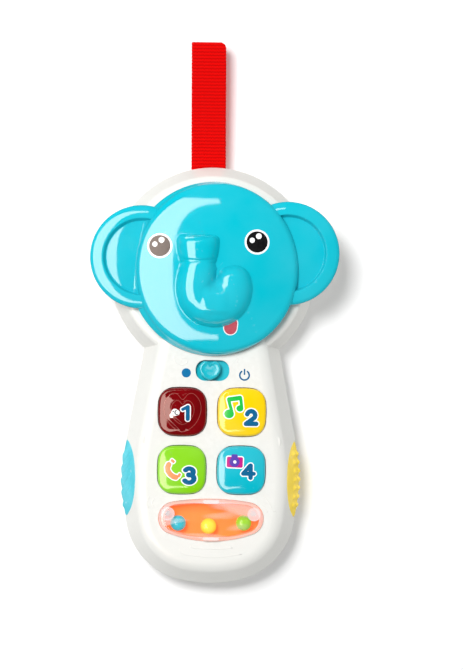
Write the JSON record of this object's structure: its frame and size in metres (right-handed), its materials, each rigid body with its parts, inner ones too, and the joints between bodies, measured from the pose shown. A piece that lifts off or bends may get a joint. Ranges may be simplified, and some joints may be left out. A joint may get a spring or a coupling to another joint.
{
  "type": "toy cell phone",
  "caption": "Baby's handset-shaped musical toy with a raised elephant face, pressing picture keys, a slide switch, a clear rattle window and a woven hanging strap.",
  "frame": {"origin": "on the flat back, on the centre line, halfway up the casing", "axes": "+Z towards the strap end, +Y out of the back, so the face looks along -Y; +X to the viewer's right"},
  "size_m": [0.095, 0.0421, 0.2086],
  "materials": {
    "shell_white": "satin moulded plastic",
    "face_turquoise": "gloss moulded plastic",
    "strap_red": "ribbed woven webbing",
    "button_red": "clear dark red plastic",
    "button_yellow": "gloss moulded plastic",
    "button_green": "gloss moulded plastic",
    "button_blue": "gloss moulded plastic",
    "window_clear": "clear moulded plastic",
    "tray_orange": "gloss moulded plastic",
    "ball_blue": "gloss moulded plastic",
    "ball_yellow": "gloss moulded plastic",
    "ball_green": "gloss moulded plastic",
    "grip_teal": "soft moulded rubber",
    "grip_yellow": "soft moulded rubber",
    "screw_steel": "zinc plated",
    "board": "solder resist",
    "chip_resin": "cured resin",
    "diode_lens": "clear resin",
    "capacitor_sleeve": "shrink sleeve",
    "resistor_body": "ceramic",
    "dome_silicone": "silicone",
    "switch_metal": "tinned steel",
    "switch_plastic": "moulded",
    "basket_metal": "black paint",
    "cone_paper": "pressed paper",
    "magnet_ferrite": "ferrite in a steel cup",
    "wire_jacket": "insulated wire",
    "battery_jacket": "printed sleeve",
    "contact_nickel": "nickel plate"
  },
  "bodies": {
    "casing": {"front_shell": "shell_white", "rear_shell": "shell_white", "elephant_face": "face_turquoise", "face_screws": "screw_steel", "case_screws": "screw_steel", "board_screws": "screw_steel", "rattle_screws": "screw_steel", "speaker_screws": "screw_steel", "strap_pin": "screw_steel", "side_grip_left": "grip_teal", "side_grip_right": "grip_yellow", "strap_end": "strap_red", "rubber_dome_1": "dome_silicone", "rubber_dome_2": "dome_silicone", "rubber_dome_3": "dome_silicone", "rubber_dome_4": "dome_silicone", "switch_can": "switch_metal", "circuit_board": "board", "light_diode": "diode_lens", "chip_blob": "chip_resin", "capacitor": "capacitor_sleeve", "resistors": "resistor_body", "rattle_window": "window_clear", "rattle_tray": "tray_orange", "speaker_frame": "basket_metal", "speaker_cone": "cone_paper", "speaker_magnet": "magnet_ferrite", "speaker_wires": "wire_jacket", "battery_wires": "wire_jacket", "battery_left": "battery_jacket", "battery_right": "battery_jacket", "contact_springs": "contact_nickel", "contact_plates": "contact_nickel"},
    "battery_door": {"battery_door": "shell_white", "door_screw": "screw_steel"},
    "strap": {"strap_loop": "strap_red"},
    "switch": {"switch_knob": "button_blue", "switch_lever": "switch_plastic"},
    "button_1": {"button_1_red": "button_red"},
    "button_2": {"button_2_yellow": "button_yellow"},
    "button_3": {"button_3_green": "button_green"},
    "button_4": {"button_4_blue": "button_blue"},
    "ball_left": {"ball_blue": "ball_blue"},
    "ball_middle": {"ball_yellow": "ball_yellow"},
    "ball_right": {"ball_green": "ball_green"}
  },
  "joints": [
    {"name": "battery_door_lift", "type": "slide", "parent": "casing", "child": "battery_door", "axis": [0, 1, 0], "range_m": [0, 0.03]},
    {"name": "strap_swing", "type": "hinge", "parent": "casing", "child": "strap", "pos_m": [-0.0024, -0.009, 0.0815], "axis": [1, 0, 0], "range_deg": [-90, 90], "stiffness_Nm_per_rad": 0.004},
    {"name": "switch_slide", "type": "slide", "parent": "casing", "child": "switch", "axis": [1, 0, 0], "range_m": [0, 0.002]},
    {"name": "button_1_press", "type": "slide", "parent": "casing", "child": "button_1", "axis": [0, 1, 0], "range_m": [0, 0.0012], "stiffness_N_per_m": 120, "deforming": ["rubber_dome_1"]},
    {"name": "button_2_press", "type": "slide", "parent": "casing", "child": "button_2", "axis": [0, 1, 0], "range_m": [0, 0.0012], "stiffness_N_per_m": 120, "deforming": ["rubber_dome_2"]},
    {"name": "button_3_press", "type": "slide", "parent": "casing", "child": "button_3", "axis": [0, 1, 0], "range_m": [0, 0.0012], "stiffness_N_per_m": 120, "deforming": ["rubber_dome_3"]},
    {"name": "button_4_press", "type": "slide", "parent": "casing", "child": "button_4", "axis": [0, 1, 0], "range_m": [0, 0.0012], "stiffness_N_per_m": 120, "deforming": ["rubber_dome_4"]},
    {"name": "ball_left_roll", "type": "slide", "parent": "casing", "child": "ball_left", "axis": [1, 0, 0], "range_m": [-0.0006, 0.00398]},
    {"name": "ball_middle_roll", "type": "slide", "parent": "casing", "child": "ball_middle", "axis": [1, 0, 0], "range_m": [-0.0016, 0.00319]},
    {"name": "ball_right_roll", "type": "slide", "parent": "casing", "child": "ball_right", "axis": [1, 0, 0], "range_m": [-0.0041, 0.0002]}
  ]
}
